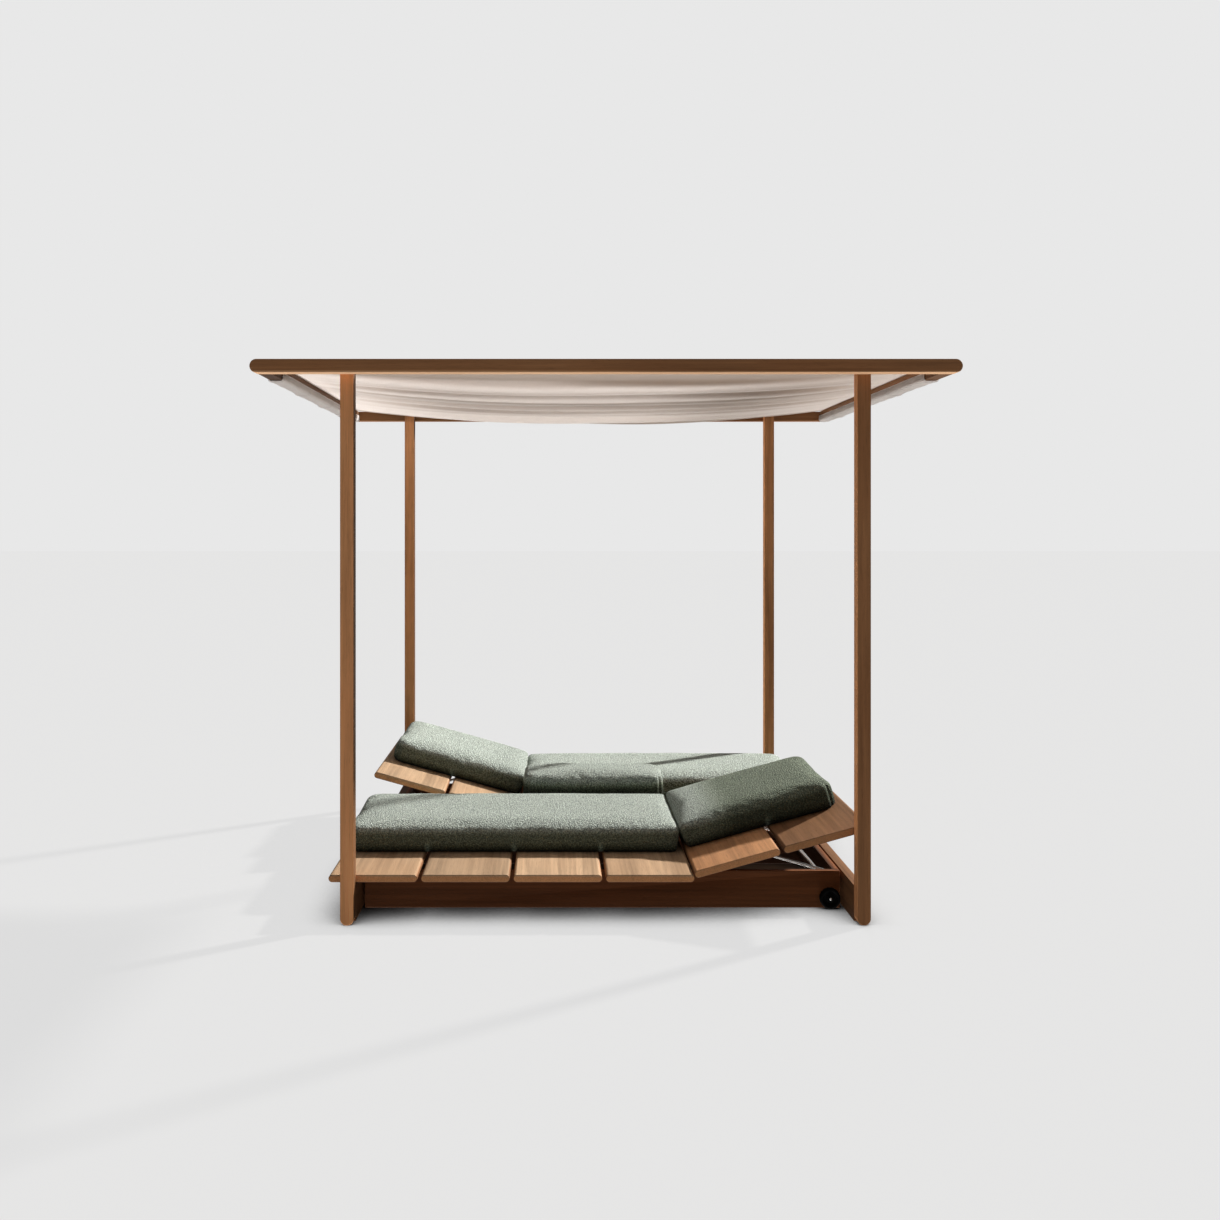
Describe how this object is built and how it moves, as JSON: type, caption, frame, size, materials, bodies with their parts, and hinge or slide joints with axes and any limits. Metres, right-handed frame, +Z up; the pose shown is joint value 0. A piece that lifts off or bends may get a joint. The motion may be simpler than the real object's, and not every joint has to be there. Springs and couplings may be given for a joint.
{
  "type": "outdoor daybed with canopy",
  "caption": "Timber pavilion frame with a sagging cloth roof over wheeled slatted loungers that lie head to toe, with tilting backs, wire props and boucle cushions.",
  "frame": {"origin": "on the floor, at the centre of the pavilion frame", "axes": "+X to the right along the front beam, +Y to the rear, +Z up"},
  "size_m": [2.59, 2.0056, 2.0773],
  "materials": {
    "teak": "oiled, fine straight grain",
    "teak_dark": "oiled, dark, fine straight grain",
    "canvas": "plain woven natural cloth",
    "boucle": "looped grey-green wool-like weave",
    "steel": "polished rod",
    "rubber": "matt black"
  },
  "bodies": {
    "frame": {"post_front_left": "teak", "post_front_right": "teak", "post_rear_left": "teak", "post_rear_right": "teak", "beam_front": "teak", "beam_rear": "teak", "top_rail_left": "teak", "top_rail_right": "teak", "floor_rail_left": "teak", "floor_rail_right": "teak", "canopy_sheet": "canvas", "canopy_sleeve_left": "canvas", "canopy_sleeve_right": "canvas", "bolster_cushion": "boucle", "front_bed_rail_right": "teak_dark", "front_bed_rail_left": "teak_dark", "front_bed_foot_board": "teak_dark", "front_bed_head_board": "teak_dark", "front_hinge_rod": "steel", "front_seat_slat_1": "teak", "front_seat_slat_2": "teak", "front_seat_slat_3": "teak", "front_seat_slat_4": "teak", "front_axle": "steel", "front_seat_cushion": "boucle", "rear_bed_rail_right": "teak_dark", "rear_bed_rail_left": "teak_dark", "rear_bed_foot_board": "teak_dark", "rear_bed_head_board": "teak_dark", "rear_hinge_rod": "steel", "rear_seat_slat_1": "teak", "rear_seat_slat_2": "teak", "rear_seat_slat_3": "teak", "rear_seat_slat_4": "teak", "rear_axle": "steel", "rear_seat_cushion": "boucle"},
    "front_back": {"front_back_slat_1": "teak", "front_back_slat_2": "teak", "front_back_bar_right": "teak_dark", "front_back_bar_left": "teak_dark", "front_back_cushion": "boucle"},
    "front_long_prop_body": {"front_long_prop": "steel"},
    "front_short_prop_body": {"front_short_prop": "steel"},
    "front_wheel_right_body": {"front_wheel_right": "rubber"},
    "front_wheel_left_body": {"front_wheel_left": "rubber"},
    "rear_back": {"rear_back_slat_1": "teak", "rear_back_slat_2": "teak", "rear_back_bar_right": "teak_dark", "rear_back_bar_left": "teak_dark", "rear_back_cushion": "boucle"},
    "rear_long_prop_body": {"rear_long_prop": "steel"},
    "rear_short_prop_body": {"rear_short_prop": "steel"},
    "rear_wheel_right_body": {"rear_wheel_right": "rubber"},
    "rear_wheel_left_body": {"rear_wheel_left": "rubber"}
  },
  "joints": [
    {"name": "front_back_tilt", "type": "hinge", "parent": "frame", "child": "front_back", "pos_m": [0.295, -0.4515, 0.114], "axis": [0, -1, 0], "range_deg": [-15.5, 9.5]},
    {"name": "front_long_prop_swing", "type": "hinge", "parent": "frame", "child": "front_long_prop_body", "pos_m": [0.87, -0.4515, 0.123], "axis": [0, 1, 0], "range_deg": [-16.2, 9.9]},
    {"name": "front_short_prop_swing", "type": "hinge", "parent": "frame", "child": "front_short_prop_body", "pos_m": [0.87, -0.4515, 0.088], "axis": [0, 1, 0], "range_deg": [-65.2, 40]},
    {"name": "front_wheel_right_spin", "type": "hinge", "parent": "frame", "child": "front_wheel_right_body", "pos_m": [0.869, -0.7645, 0.04], "axis": [0, 1, 0], "continuous": true},
    {"name": "front_wheel_left_spin", "type": "hinge", "parent": "frame", "child": "front_wheel_left_body", "pos_m": [0.869, -0.1385, 0.04], "axis": [0, 1, 0], "continuous": true},
    {"name": "rear_back_tilt", "type": "hinge", "parent": "frame", "child": "rear_back", "pos_m": [-0.307, 0.4515, 0.114], "axis": [0, 1, 0], "range_deg": [-15.5, 9.5]},
    {"name": "rear_long_prop_swing", "type": "hinge", "parent": "frame", "child": "rear_long_prop_body", "pos_m": [-0.882, 0.4515, 0.123], "axis": [0, -1, 0], "range_deg": [-16.2, 9.9]},
    {"name": "rear_short_prop_swing", "type": "hinge", "parent": "frame", "child": "rear_short_prop_body", "pos_m": [-0.882, 0.4515, 0.088], "axis": [0, -1, 0], "range_deg": [-65.2, 40]},
    {"name": "rear_wheel_right_spin", "type": "hinge", "parent": "frame", "child": "rear_wheel_right_body", "pos_m": [-0.881, 0.7645, 0.04], "axis": [0, 1, 0], "continuous": true},
    {"name": "rear_wheel_left_spin", "type": "hinge", "parent": "frame", "child": "rear_wheel_left_body", "pos_m": [-0.881, 0.1385, 0.04], "axis": [0, 1, 0], "continuous": true}
  ],
  "couplings": [
    {"joint": "front_long_prop_swing", "follows": "front_back_tilt", "ratio": 1.04},
    {"joint": "front_short_prop_swing", "follows": "front_back_tilt", "ratio": 4.2},
    {"joint": "rear_long_prop_swing", "follows": "rear_back_tilt", "ratio": 1.04},
    {"joint": "rear_short_prop_swing", "follows": "rear_back_tilt", "ratio": 4.2}
  ]
}
